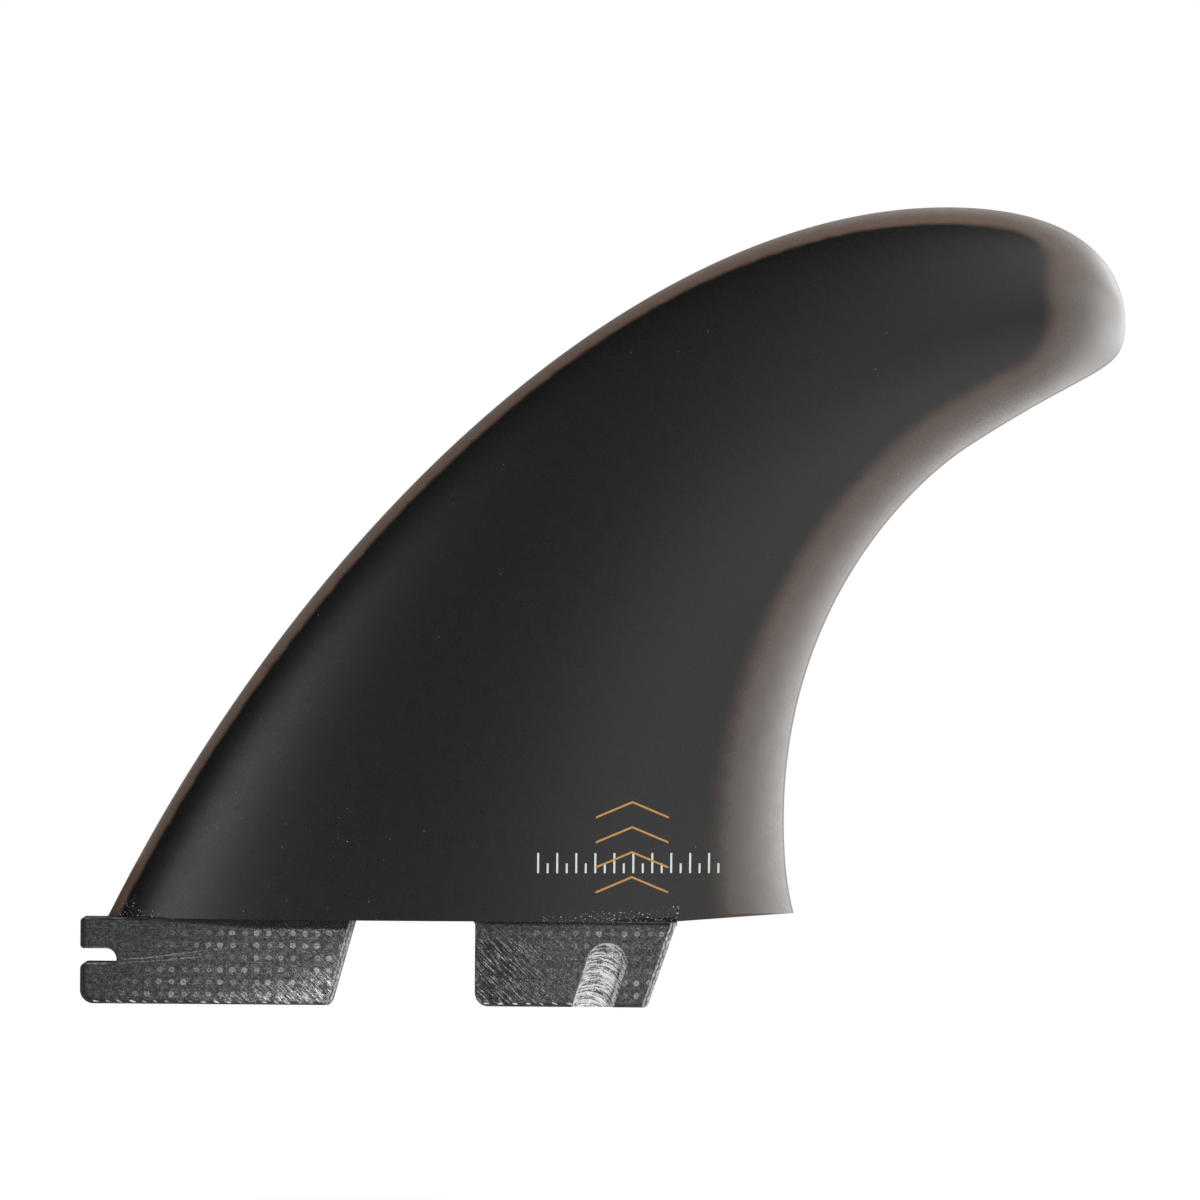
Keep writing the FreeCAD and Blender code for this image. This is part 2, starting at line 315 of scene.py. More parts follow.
def makeBladeMaterial():
    look = bladeLook
    material, graph, shader, place = newMaterial("smokyLaminate")
    x, y, z = graph.split(place)
    thickness = graph.attribute("thickness")
    share = graph.attribute("share")
    across = graph.attribute("across")
    run = graph.attribute("run")
    leading = graph.step(across, *look["leading"])
    upper = graph.step(share, *look["upper"])
    tip = graph.step(share, *look["tip"])

    # the same unevenness on both faces, with the cloth under the skin
    sheet = graph.vector(x, 0.0, z)
    cloud = graph.noise(sheet, 0.35, 3.0, 0.55) - 0.5
    fine = graph.noise(sheet, 3.2, 3.0, 0.7) - 0.5
    grain = graph.noise(place, 6.0, 3.0, 0.8) - 0.5
    weave = graph.math("SINE", x * look["weavePitch"] + z * look["weaveTurn"]) \
        * graph.math("SINE", z * look["weavePitch"] - x * look["weaveTurn"])
    uneven = 1.0 + look["mottle"] * (cloud * 1.3 + fine * 0.3 + weave * 0.18)

    # trailing rim: thin and clear at its edge
    dense = thickness * graph.follow(look["density"], share) \
        * graph.follow(look["tipDensity"], share)
    trailSmoke = dense * uneven * (look["smoke"] - look["tipSmoke"] * tip) \
        - look["smoke"] * look["clearSkin"] + look["tipEdge"] * tip \
        - graph.follow(look["tipEnd"], share)

    # leading rim: blunt, so it is smoky from the very edge inward
    leadSmoke = (graph.follow(look["leadEdge"], share)
                 + graph.follow(look["leadSlope"], share) * run) * uneven
    # a painted highlight at the rearmost end of the tip, made by letting more through there
    tipHighlight = graph.step(x, *look["tipHighlightAlong"]) * graph.step(z, *look["tipHighlightUp"])
    smoke = trailSmoke + (leadSmoke - trailSmoke) * leading - look["tipHighlight"] * tipHighlight
    smoke = graph.math("MAXIMUM", smoke, look["leastAtTip"] * tip)

    # the outline of the trailing edge and the tip shows as a thin line
    fromTail = run / graph.math("MAXIMUM", across, 0.01) - run
    contour = graph.math("MAXIMUM", graph.step(fromTail, *look["contourWidth"]),
                         graph.step(run, *look["contourWidth"]) * tip)
    smoke = smoke + look["contour"] * contour
    passed = graph.math("EXPONENT", smoke * -1.0)

    # black core
    ragged = cloud * 0.35 + fine * 0.08
    coreRun = graph.follow(look["coreRun"], share)
    fromEdge = graph.step(run + ragged * 2.0, coreRun - look["coreSoft"] - 1.0 * tip,
                          coreRun + look["coreFirm"] + 1.2 * tip)
    coreStart = look["coreStart"] + 0.8 * upper + 0.55 * tip
    coreFull = look["coreFull"] + 0.9 * upper + 1.7 * tip
    fromBack = graph.step(dense + ragged + leading * look["coreLead"], coreStart, coreFull)
    core = fromEdge * fromBack

    # what passes through the whole blade is shared between its two skins
    alpha = 1.0 - graph.math("SQRT", passed) * (1.0 - core)
    rimColour = graph.blend(graph.step(smoke, 2.6, 1.3), look["rimColour"], look["warmRim"])
    brown = graph.limit(0.25 * graph.step(share, 0.15, 0.5) + leading)
    rimColour = graph.blend(brown, rimColour, look["deepRim"])
    rimColour = graph.blend(tip * 0.8, rimColour, look["tipColour"])
    coreColour = graph.blend(graph.step(grain, -0.22, 0.22), look["coreDark"],
                             look["coreLight"])
    colour = graph.blend(core, rimColour, coreColour)

    # printed marks, on the outer face only
    outside = graph.math("LESS_THAN", y, look["marksAhead"])
    orange = chevronMask(graph, x, z) * outside
    white = tickMask(graph, x, z) * outside * (1.0 - orange)
    worn = 0.80 + 0.35 * (graph.noise(place, 2.5, 3.0, 0.7) - 0.5)
    colour = graph.blend(orange * worn, colour, look["orange"])
    colour = graph.blend(white * worn, colour, look["white"])
    printed = graph.math("MAXIMUM", orange, white)

    rough = look["gloss"] + grain * 0.16 + fine * 0.06 + cloud * 0.05 + printed * 0.15
    graph.feed(shader.inputs["Base Color"], colour)
    graph.feed(shader.inputs["Alpha"], graph.math("MAXIMUM", alpha, printed))
    graph.feed(shader.inputs["Roughness"], graph.limit(rough, 0.2, 0.7))
    relief = grain * 0.8 + fine * 0.5 + printed * 0.8
    bump = graph.put("ShaderNodeBump", None, {"Height": relief, "Strength": 0.14,
                                              "Distance": 0.00006})
    graph.feed(shader.inputs["Normal"], bump)
    return material


# the milled groove in the outer face of the rear tab: where its round end is and how it leans
grooveSizes = {
    "x": 30.65, "z": -6.6, "radius": 3.2, "slant": 17.4, "face": -3.1, "bottom": -13.2,
    "cutterArc": 4.3,
}
clothLook = {
    # part of a step along the base that is a step along or across the yarns
    "diagonal": 0.7071,
    # stitch dots: pitch along the base on either tab and upward, one dot to count from, ring
    "frontPitch": 1.935, "rearPitch": 2.0, "upPitch": 1.97,
    "frontDot": (-33.0, -2.25), "rearDot": (25.5, -1.93), "dotRadius": 0.28,
    # the lowest and highest height of dots
    "dotsFrom": -13.4, "dotsTo": -0.9,
    # slanted walls: lean from the vertical, place at the hull plane; strand laid bare in them
    "frontLean": 15.5, "frontWall": -9.55, "rearLean": 18.9, "rearWall": 41.85,
    "bevelWidth": (1.0, 0.75), "strandAt": 0.52,
    # scratches rise from here by these slopes
    "scratchX": -47.9, "firstScratch": (-6.9, 0.125), "secondScratch": (-7.3, 0.086),
    # moulded nose of the front tab: middle of its round, and where it turns dark
    "noseX": -50.6, "noseZ": -10.9, "noseDark": (1.75, 2.4),
    # grey levels
    "level": 0.033, "rearMore": 0.022, "frontMore": 0.035, "lowRightMore": 0.165,
    "dotLevel": 0.21, "scratchLevel": 0.11, "glintLevel": 0.22,
    "grooveDark": 0.045, "groovePale": 0.60,
}


def makeClothMaterial():
    look = clothLook
    material, graph, shader, place = newMaterial("sandedCloth")
    x, y, z = graph.split(place)
    rear = graph.math("GREATER_THAN", x, 0.0)
    front = 1.0 - rear
    sideways = graph.math("ABSOLUTE", y)
    grain = graph.step(graph.noise(place, 4.2, 3.0, 0.8), 0.36, 0.64)
    speck = graph.step(graph.noise(place, 1.7, 4.0, 0.75), 0.33, 0.67)
    cloud = graph.noise(place, 0.22, 3.0, 0.6)

    # yarns at 45 degrees, down to the right, and the sanding along the hull plane
    along = (x - z) * look["diagonal"]
    across = (x + z) * look["diagonal"]
    fibre = graph.noise(graph.vector(along * 0.28, y, across * 5.2), 1.0, 3.0, 0.7)
    sanding = graph.noise(graph.vector(x * 0.16, y, z * 5.0), 1.0, 3.0, 0.75)
    lowRight = graph.step(x * 0.16 - z * 0.45, -0.6, 2.9)
    leftRear = graph.step(x, 24.5, 12.0) * graph.step(z, -1.6, -4.2) * rear
    fibreShare = graph.limit(front * (lowRight + 0.15) + leftRear * 1.3 + rear * 0.25, 0.0, 1.4)
    sandShare = front * (1.0 - lowRight) + rear * graph.step(z, -8.0, -2.0) * 0.8

    # stitch dots, one for each crossing of the cloth
    pitchX = look["frontPitch"] * front + look["rearPitch"] * rear
    startX = look["frontDot"][0] * front + look["rearDot"][0] * rear
    startZ = look["frontDot"][1] * front + look["rearDot"][1] * rear
    cellX = (x - startX) / pitchX + 0.5
    cellZ = (z - startZ) / look["upPitch"] + 0.5
    columnX = graph.math("FLOOR", cellX)
    rowZ = graph.math("FLOOR", cellZ)
    luck = graph.chance(graph.vector(columnX, 3.0, rowZ))
    offX = (cellX - columnX - 0.5) * pitchX + (luck - 0.5) * 0.3 + (grain - 0.5) * 0.14
    offZ = (cellZ - rowZ - 0.5) * look["upPitch"] + (speck - 0.5) * 0.26
    radius = graph.math("SQRT", offX * offX + offZ * offZ * 1.15)
    ring = graph.band(radius, look["dotRadius"], 0.06 + 0.07 * luck, 0.14)
    edgeAway = graph.math("MINIMUM", z - look["dotsFrom"], look["dotsTo"] - z)
    kept = graph.step(edgeAway, 0.2, 0.6)
    frontShow = front * graph.step(x - z * 0.9, -42.0, -24.0) \
        * (1.0 - 0.75 * graph.band(z, -6.1, 0.9, 0.8) * graph.step(x, -20.0, -30.0))
    rearShow = rear * (0.28 + 0.5 * graph.step(z, -3.6, -2.4)
                       + 0.75 * graph.step(x, 33.0, 34.0) * graph.step(z, -8.0, -9.0)) \
        * graph.step(x, 14.0, 24.0)
    dots = ring * kept * (0.25 + 0.9 * luck) * (0.45 + 0.8 * grain) \
        * graph.limit(frontShow + rearShow)

    # a few pale scratches that rise to the right from the notch
    wander = (cloud - 0.5) * 0.5

    def scratch(plan, halfWidth):
        height, slope = plan
        away = z - height - (x - look["scratchX"]) * slope + wander
        return graph.band(away, 0.0, halfWidth, 0.10)

    scratchSpan = graph.step(x, -48.2, -46.5) * graph.step(x, -28.0, -38.0)
    scratches = graph.limit(scratch(look["firstScratch"], 0.05)
                            + scratch(look["secondScratch"], 0.04) * 0.8) * scratchSpan \
        * (0.35 + 0.65 * graph.step(speck, 0.2, 0.5))

    # pale bevel down either slanted wall, with one twisted strand laid bare in it
    def fromWall(foot, degrees):
        lean = math.radians(degrees)
        return (z * math.tan(lean) + foot - x) * math.cos(lean)

    wall = fromWall(look["frontWall"], look["frontLean"]) * front \
        + fromWall(look["rearWall"], look["rearLean"]) * rear
    bevel = graph.step(wall, *look["bevelWidth"]) * graph.step(sideways, 2.1, 2.35)
    twist = graph.band(wall + graph.math("SINE", z * 4.2) * 0.07, look["strandAt"], 0.07, 0.10)

    # painted shadow under the blade's overhang: a darker band on the front tab, deeper toward its
    # rear, and a thin dark line along the top of the rear tab, with painted glints along part of
    # the band's lower edge
    overhangShadowDepth = 0.50 + graph.step(x, -40.0, -23.0) * front
    overhangShadowEdge = z + overhangShadowDepth + (speck - 0.5) * 0.45 + (grain - 0.5) * 0.2
    overhangShadow = graph.step(overhangShadowEdge, -0.15, 0.12) * graph.step(x, -43.0, -39.0)
    overhangShadow = overhangShadow * (front + rear * graph.step(x, 9.5, 11.5) * graph.step(z, -0.05, -0.2))
    glints = graph.band(overhangShadowEdge, -0.20, 0.07, 0.10) * graph.step(x, -30.0, -22.0) * front \
        * graph.step(grain, 0.45, 0.75)

    # the moulded nose of the front tab and the front of the rear one are left dark and brown
    noseX = graph.math("MAXIMUM", look["noseX"] - x, 0.0)
    noseZ = graph.math("MAXIMUM", look["noseZ"] - z, 0.0)
    noseReach = graph.math("SQRT", noseX * noseX + noseZ * noseZ)
    dark = graph.step(noseReach + (speck - 0.5) * 0.3, *look["noseDark"]) * front \
        * graph.step(x, -49.0, -50.0) + rear * graph.step(x + (speck - 0.5) * 0.2, 9.85, 9.5)

    # pale raw glass in the milled groove, with the cutter's arcs
    lean = math.radians(grooveSizes["slant"])
    fromEndX = x - grooveSizes["x"]
    fromEndZ = z - grooveSizes["z"]
    down = fromEndX * -math.sin(lean) + fromEndZ * -math.cos(lean)
    side = fromEndX * math.cos(lean) + fromEndZ * -math.sin(lean)
    above = graph.math("MINIMUM", down, 0.0)
    reach = graph.math("SQRT", side * side + above * above)
    inGroove = graph.step(reach, grooveSizes["radius"] + 0.08, grooveSizes["radius"] - 0.1) \
        * graph.math("GREATER_THAN", y, grooveSizes["face"] + 0.06) \
        * graph.math("LESS_THAN", y, 0.0) * rear
    arc = grooveSizes["cutterArc"]
    bow = arc - graph.math("SQRT", graph.math("MAXIMUM", arc * arc - side * side, 0.1))
    marks = graph.vector(side * 0.35, y, (down - bow) * 3.3 + (cloud - 0.5) * 4.0)
    streak = graph.noise(marks, 1.0, 3.0, 0.65)
    rawGlass = graph.step(streak + (grain - 0.5) * 0.16 + (speck - 0.5) * 0.10, 0.36, 0.60)
    # painted shadow along the right side of the groove's floor, below its right wall
    floorShare = graph.math("GREATER_THAN", y, -1.9)
    shade = 1.0 - 0.45 * graph.step(side, 1.7, 2.3) * floorShare

    # grey level: cloth, then what lies on it
    level = look["level"] + look["rearMore"] * rear
    level = level + front * (look["frontMore"] * graph.step(x - z, -42.0, -14.0)
                             + look["lowRightMore"] * lowRight * lowRight)
    level = level + 0.006 * leftRear
    level = level * (0.10 + 1.8 * grain) * (0.40 + 1.2 * speck)
    level = level * (1.0 + fibreShare * (graph.step(fibre, 0.50, 0.64) * 3.0 - 0.55))
    level = level * (1.0 + sandShare * (graph.step(sanding, 0.35, 0.75) * 0.75 - 0.35))
    level = level + dots * look["dotLevel"] + scratches * look["scratchLevel"] \
        + glints * look["glintLevel"]

    # plies of the lay-up, seen on edge on the walls, the bottom and in the notch
    ply = graph.noise(graph.vector(x * 0.35, y * 4.6, z * 0.35), 1.0, 2.0, 0.6)
    onEdge = graph.step(sideways, 3.02, 2.9)
    plies = (0.025 + 0.20 * graph.step(ply, 0.42, 0.66)) * (0.6 + 0.8 * speck)
    level = level * (1.0 - onEdge) + plies * onEdge
    level = level * (1.0 - 0.75 * graph.step(z, -13.0, -13.25))
    # the painted shadow under the blade darkens the cloth, less at a few brighter specks in it;
    # the dark nose darkens it too
    level = level * (1.0 - overhangShadow * (0.97 - 0.55 * graph.step(grain, 0.6, 1.0))) \
        * (1.0 - 0.75 * dark)
    strand = 0.16 + 0.25 * graph.step(speck, 0.35, 0.7)
    level = level * (1.0 - bevel) + bevel * strand * (1.0 - 0.72 * twist)
    level = level * (1.0 - inGroove) \
        + inGroove * (look["grooveDark"] + look["groovePale"] * rawGlass) * shade
    tone = graph.put("ShaderNodeCombineColor", None,
                     {0: level * (0.985 + 0.25 * dark), 1: level,
                      2: level * (1.015 - 0.2 * dark)})
    graph.feed(shader.inputs["Base Color"], tone)
    graph.feed(shader.inputs["Roughness"],
               graph.limit(0.62 + grain * 0.2 + overhangShadow * 0.1, 0.3, 0.9))
    shader.inputs["Specular IOR Level"].default_value = 0.35
    relief = grain * 0.5 + dots * 1.2 + fibre * fibreShare * 0.8 + sanding * sandShare * 0.4 \
        + streak * inGroove * 2.5 - twist * bevel
    bump = graph.put("ShaderNodeBump", None, {"Height": relief, "Strength": 0.45,
                                              "Distance": 0.00012})
    graph.feed(shader.inputs["Normal"], bump)
    return material


def makeGlassMaterial(name, low, high, roughness):
    # bare glass ends and specks: pale, each a little different
    material, graph, shader, place = newMaterial(name)
    shadeNoise = graph.noise(place, 1.7, 3.0, 0.7)
    level = low + (high - low) * graph.step(shadeNoise, 0.35, 0.65)
    tone = graph.put("ShaderNodeCombineColor", None, {0: level * 0.99, 1: level, 2: level})
    graph.feed(shader.inputs["Base Color"], tone)
    graph.feed(shader.inputs["Roughness"], roughness + 0.2 * shadeNoise)
    bump = graph.put("ShaderNodeBump", None,
                     {"Height": graph.noise(place, 12.0, 2.0, 0.6), "Strength": 0.3,
                      "Distance": 0.00005})
    graph.feed(shader.inputs["Normal"], bump)
    return material


glassLooks = {
    # darkest and palest grey, roughness
    "bareGlassFibre": (0.28, 0.62, 0.5),
    "cutTowEnds": (0.18, 0.66, 0.5),
    "resinSpecks": (0.12, 0.75, 0.35),
    "resinBead": (0.005, 0.012, 0.28),
}
bladeMaterial = makeBladeMaterial()
clothMaterial = makeClothMaterial()
glassMaterials = {name: makeGlassMaterial(name, *look) for name, look in glassLooks.items()}


print("blade")
bladeSizes = {
    # leading edge, crown and tip
    "leadingRoot": -49.55, "baseChord": 110.2, "leadingAngle": 63.9, "leadingReach": 71.1,
    "rake": 134.4, "depth": 115.0, "crownReachFront": 48.7, "crownReachBack": 25.6,
    "tipOverhang": 28.4, "tipDrop": 18.3, "tipReachUp": 5.2, "tipReachDown": 8.5,
    # trailing edge: hollow, waist and foot
    "hollowRun": 25.3, "hollowDrop": 20.3, "hollowAngle": 33.5,
    "hollowReachTip": 25.7, "hollowReachRoot": 8.65,
    "waistInset": 1.7, "waistHeight": 16.8, "waistReachUp": 35.7, "waistReachDown": 10.2,
    "footRise": 1.3, "footStart": 41.85, "footBlend": 9.0,
    # foil section
    "thickness": 9.0, "thinning": 0.6, "innerFace": 3.4, "crestShare": 0.40,
    "crestFlatness": 0.48, "noseShare": 0.16, "noseFullness": 0.68, "noseRun": 0.14,
    "tailReach": 0.37, "tailRise": 0.40, "trailingEdge": 0.8, "trailingRound": 0.25,
    # last section before the tip, and how many points there are
    "lastChord": 0.995,
    "stations": 260, "frontCount": 40, "backCount": 60, "edgeCount": 6, "noseCount": 8,
}


def cubic(w, first, second, third, fourth):
    # a Bezier curve's value where w is a node value
    v = 1.0 - w
    return v * v * v * first + 3.0 * v * v * w * second + 3.0 * v * w * w * third \
        + w * w * w * fourth


def sampledChain(graph, chain, share):
    # the point at a share of the length of a chain of Bezier segments, given by their poles
    lengths = []
    curves = []
    for poles in chain:
        curve = graph.put("GeometryNodeCurvePrimitiveBezierSegment", {"mode": "POSITION"},
                          {"Resolution": 220, "Start": poles[0], "Start Handle": poles[1],
                           "End Handle": poles[2], "End": poles[3]})
        curves.append(curve)
        lengths.append(graph.put("GeometryNodeCurveLength", None, {"Curve": curve}))
    total = lengths[0]
    for length in lengths[1:]:
        total = total + length
    left = share * total
    place = None
    for index, curve in enumerate(curves):
        node = graph.tree.nodes.new("GeometryNodeSampleCurve")
        node.mode = "LENGTH"
        graph.feed(node.inputs["Curves"], curve)
        graph.feed(node.inputs["Length"], graph.limit(left, 0.0, lengths[index]))
        spot = Value(graph, node.outputs["Position"])
        left = left - lengths[index]
        if place is None:
            place = spot
        else:
            step = graph.vectorMath("SUBTRACT", spot, chain[index][0])
            place = graph.vectorMath("ADD", place, step)
    return place


def bladeOutlines(graph, size, share):
    # leading and trailing edge in the XZ plane, at the same share of either length
    def at(x, z):
        return graph.vector(x, 0.0, z)

    turn = size["leadingAngle"] * math.pi / 180
    rootX = size["leadingRoot"]
    crownX = rootX + size["rake"]
    tipX = crownX + size["tipOverhang"]
    tipZ = size["depth"] - size["tipDrop"]
    leading = [
        (at(rootX, 0.0),
         at(rootX + size["leadingReach"] * graph.math("COSINE", turn),
            size["leadingReach"] * graph.math("SINE", turn)),
         at(crownX - size["crownReachFront"], size["depth"]),
         at(crownX, size["depth"])),
        (at(crownX, size["depth"]),
         at(crownX + size["crownReachBack"], size["depth"]),
         at(tipX, tipZ + size["tipReachUp"]),
         at(tipX, tipZ))]
    slope = size["hollowAngle"] * math.pi / 180
    footX = rootX + size["baseChord"]
    waistX = footX - size["waistInset"]
    hollowX = tipX - size["hollowRun"]
    hollowZ = tipZ - size["hollowDrop"]
    run = graph.math("COSINE", slope)
    rise = graph.math("SINE", slope)
    trailing = [
        (at(footX, 0.0), at(footX, 0.0),
         at(waistX, size["waistHeight"] - size["waistReachDown"]),
         at(waistX, size["waistHeight"])),
        (at(waistX, size["waistHeight"]),
         at(waistX, size["waistHeight"] + size["waistReachUp"]),
         at(hollowX - run * size["hollowReachRoot"], hollowZ - rise * size["hollowReachRoot"]),
         at(hollowX, hollowZ)),
        (at(hollowX, hollowZ),
         at(hollowX + run * size["hollowReachTip"], hollowZ + rise * size["hollowReachTip"]),
         at(tipX, tipZ - size["tipReachDown"]),
         at(tipX, tipZ))]
    return sampledChain(graph, leading, share), sampledChain(graph, trailing, share)


def makeBladeTree():
    tree, graph, size = newTree("foiledBlade", bladeSizes)
    frontCount = size["frontCount"]
    backCount = size["backCount"]
    loopCount = (frontCount + backCount) * 2.0 + size["edgeCount"] + size["noseCount"]
    grid = graph.put("GeometryNodeMeshGrid", None,
                     {"Size X": 1.0, "Size Y": 1.0, "Vertices X": size["stations"],
                      "Vertices Y": loopCount + 1.0})
    gridX, gridY = graph.split(graph.put("GeometryNodeInputPosition"))[:2]
    share = size["lastChord"] * graph.math("SINE", (gridX + 0.5) * (math.pi / 2))
    step = (gridY + 0.5) * loopCount
    lead, trail = bladeOutlines(graph, size, share)
    reach = graph.vectorMath("SUBTRACT", trail, lead)
    chord = graph.vectorMath("LENGTH", reach, output=1)
    along = graph.vectorMath("NORMALIZE", reach)
    thick = size["thickness"] * (chord / size["baseChord"]) ** size["thinning"]
    edge = size["trailingEdge"] * graph.math("SQRT", thick / size["thickness"])
    nose = size["noseShare"] * thick
    under = size["noseRun"] * thick
    crest = size["crestShare"] * chord
    inset = edge * size["trailingRound"]
    tail = chord - inset

    # how far each stretch of the loop has run, from 0 to 1
    def stretch(start, count):
        return graph.limit((step - start) / count)

    outFront = stretch(0.0, frontCount)
    outBack = stretch(frontCount, backCount)
    trailing = stretch(frontCount + backCount, size["edgeCount"])
    turned = frontCount + backCount + size["edgeCount"]
    inBack = 1.0 - stretch(turned, backCount)
    inFront = 1.0 - stretch(turned + backCount, frontCount)
    underNose = stretch(turned + backCount + frontCount, size["noseCount"])

    def frontRun(w):
        return cubic(w, 0.0, 0.0, crest * (1.0 - size["crestFlatness"]), crest)

    def backRun(w):
        return cubic(w, crest, crest + (chord - crest) * size["crestFlatness"],
                     chord - size["tailReach"] * (chord - crest), tail)

    def frontHeight(w):
        return cubic(w, nose, nose + size["noseFullness"] * (thick - nose), thick, thick)

    def backHeight(w):
        return cubic(w, thick, thick, edge + size["tailRise"] * thick, edge)

    inner = (tail - under) / tail
    quarter = underNose * (math.pi / 2)
    half = trailing * math.pi
    outRun = frontRun(outFront) + backRun(outBack) - crest
    outHeight = frontHeight(outFront) + backHeight(outBack) - thick
    inRun = frontRun(inFront) + backRun(inBack) - crest
    inHeight = frontHeight(inFront) + backHeight(inBack) - thick
    run = outRun + inset * graph.math("SINE", half) + (inRun - tail) * inner \
        - under * graph.math("SINE", quarter)
    height = outHeight - edge * (1.0 - graph.math("COSINE", half)) / 2.0
    onInner = graph.math("GREATER_THAN", step, turned)
    height = height * (1.0 - onInner) + onInner * nose * (1.0 - graph.math("COSINE", quarter))

    # thickness through the blade at every point, less what the eased nose takes off it
    ahead = graph.limit(1.0 - outRun / under)
    eased = nose * (1.0 - graph.math("SQRT", graph.limit(1.0 - ahead * ahead)))
    local = (outHeight - eased) * (1.0 - onInner) + onInner * inHeight * (1.0 - underNose)
    known = {"thickness": local, "share": share, "across": run / chord, "run": run}
    made = grid
    for name, value in known.items():
        made = graph.put("GeometryNodeStoreNamedAttribute",
                         {"data_type": "FLOAT", "domain": "POINT"},
                         {"Geometry": made, "Name": name, "Value": value})
    offset = graph.vectorMath("MULTIPLY", along, graph.vector(run, run, run))
    spotX, spotZ = graph.split(graph.vectorMath("ADD", lead, offset))[::2]
    behind = (spotX - size["footStart"]) \
        / (size["leadingRoot"] + size["baseChord"] - size["footStart"])
    relief = size["footRise"] * graph.limit(behind, 0.0, 2.0) \
        * graph.limit(1.0 - spotZ / size["footBlend"])
    spot = graph.vector(spotX * mm, (size["innerFace"] - height) * mm, (spotZ + relief) * mm)
    made = graph.put("GeometryNodeSetPosition", None, {"Geometry": made, "Position": spot})
    made = graph.put("GeometryNodeMergeByDistance", None,
                     {"Geometry": made, "Distance": 0.0000005})
    made = graph.put("GeometryNodeSetShadeSmooth", None, {"Geometry": made})
    finishTree(graph, made, bladeMaterial)
    return tree


def closeEnds(mesh, sharpAngle):
    # fill open ends, turn the faces outward and keep hard edges hard
    work = bmesh.new()
    work.from_mesh(mesh)
    bmesh.ops.remove_doubles(work, verts=work.verts, dist=0.0000005)
    rims = [edge for edge in work.edges if edge.is_boundary]
    bmesh.ops.holes_fill(work, edges=rims, sides=0)
    bmesh.ops.recalc_face_normals(work, faces=work.faces)
    for face in work.faces:
        face.smooth = True
    for edge in work.edges:
        sharp = len(edge.link_faces) == 2 and edge.calc_face_angle(0) > sharpAngle
        edge.smooth = not sharp
    work.to_mesh(mesh)
    work.free()
    mesh.update()


blade = grown("blade", makeBladeTree(), bladeSizes)
closeEnds(blade.data, math.radians(40))
dress(blade)
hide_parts("fin")


print("tabs")
tabSizes = {"top": -0.002, "sharpAngle": 14}


def cadPartBelow(node, level):
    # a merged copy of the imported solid's mesh, cut off at a level and closed there
    work = bmesh.new()
    work.from_mesh(node.data)
    bmesh.ops.remove_doubles(work, verts=work.verts, dist=0.000001)
    cut = bmesh.ops.bisect_plane(work, geom=work.verts[:] + work.edges[:] + work.faces[:],
                                 plane_co=(0, 0, level), plane_no=(0, 0, 1),
                                 clear_outer=True, dist=0.000001)
    rims = [edge for edge in cut["geom_cut"] if isinstance(edge, bmesh.types.BMEdge)]
    bmesh.ops.holes_fill(work, edges=[edge for edge in rims if edge.is_boundary], sides=0)
    mesh = bpy.data.meshes.new("tabs")
    work.to_mesh(mesh)
    work.free()
    return mesh


tabMesh = cadPartBelow(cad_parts["fin"], tabSizes["top"] * mm)
closeEnds(tabMesh, math.radians(tabSizes["sharpAngle"]))
tabMesh.materials.clear()
tabMesh.materials.append(clothMaterial)
for polygon in tabMesh.polygons:
    polygon.material_index = 0
shown("tabs", tabMesh)


# resin beads where a tab stands proud of the blade
print("beads")
beadSizes = {
    "rearFrom": 26.0, "rearTo": 41.75, "rearHeight": 0.85, "frontFrom": -49.2, "frontTo": -38.5,
    "frontHeight": 0.40, "tabFace": -3.1, "steps": 90, "rings": 9, "roughness": 0.08,
    # how far it goes into the blade, stands off the tab and reaches down, and its lumps
    "overlap": 0.06, "proud": 0.01, "sunk": 0.10, "hollow": 0.65, "lump": 0.02, "back": 1.0,
}


def wobble(value, seed):
    # a smooth made-up unevenness between -1 and 1
    return (math.sin(value * 2.9 + seed) + math.sin(value * 7.3 + seed * 2.3)
            + math.sin(value * 17.1 + seed * 5.1)) / 3


def beadStrip(tree, start, end, topHeight, seed):
    # a concave fillet from the tab's outer face up onto the blade
    steps = beadSizes["steps"]
    rings = beadSizes["rings"]
    sunk = beadSizes["sunk"]
    hollow = beadSizes["hollow"]
    points = []
    for step in range(steps + 1):
        share = step / steps
        x = start + (end - start) * share
        ease = min(1.0, share * 2.2 + 0.05)
        top = topHeight * ease * (1 + beadSizes["roughness"] * wobble(x * 2, seed))
        hit = tree.ray_cast(Vector((x, -30, top)) * mm, Vector((0, 1, 0)))
        bladeY = hit[0].y / mm if hit[0] else beadSizes["tabFace"]
        for ring in range(rings + 1):
            turn = ring / rings * math.pi / 2
            deep = bladeY + beadSizes["overlap"] - beadSizes["tabFace"]
            y = beadSizes["tabFace"] - beadSizes["proud"] + deep * math.sin(turn)
            rise = (1 - hollow) * ring / rings + hollow * (1 - math.cos(turn))
            z = (top + sunk) * rise - sunk
            lump = beadSizes["lump"] * wobble(x * 3 + ring * 2.1, seed + ring)
            points.append(Vector((x, y - lump, z)) * mm)
        points.append(Vector((x, bladeY + beadSizes["back"], top)) * mm)
        points.append(Vector((x, bladeY + beadSizes["back"], -sunk - 0.02)) * mm)
    ringSize = rings + 3
    faces = []
    for step in range(steps):
        for ring in range(ringSize):
            after = (ring + 1) % ringSize
            faces.append((step * ringSize + ring, step * ringSize + after,
                          (step + 1) * ringSize + after, (step + 1) * ringSize + ring))
    faces.append(tuple(range(ringSize)))
    faces.append(tuple(steps * ringSize + ring for ring in range(ringSize)))
    return points, faces


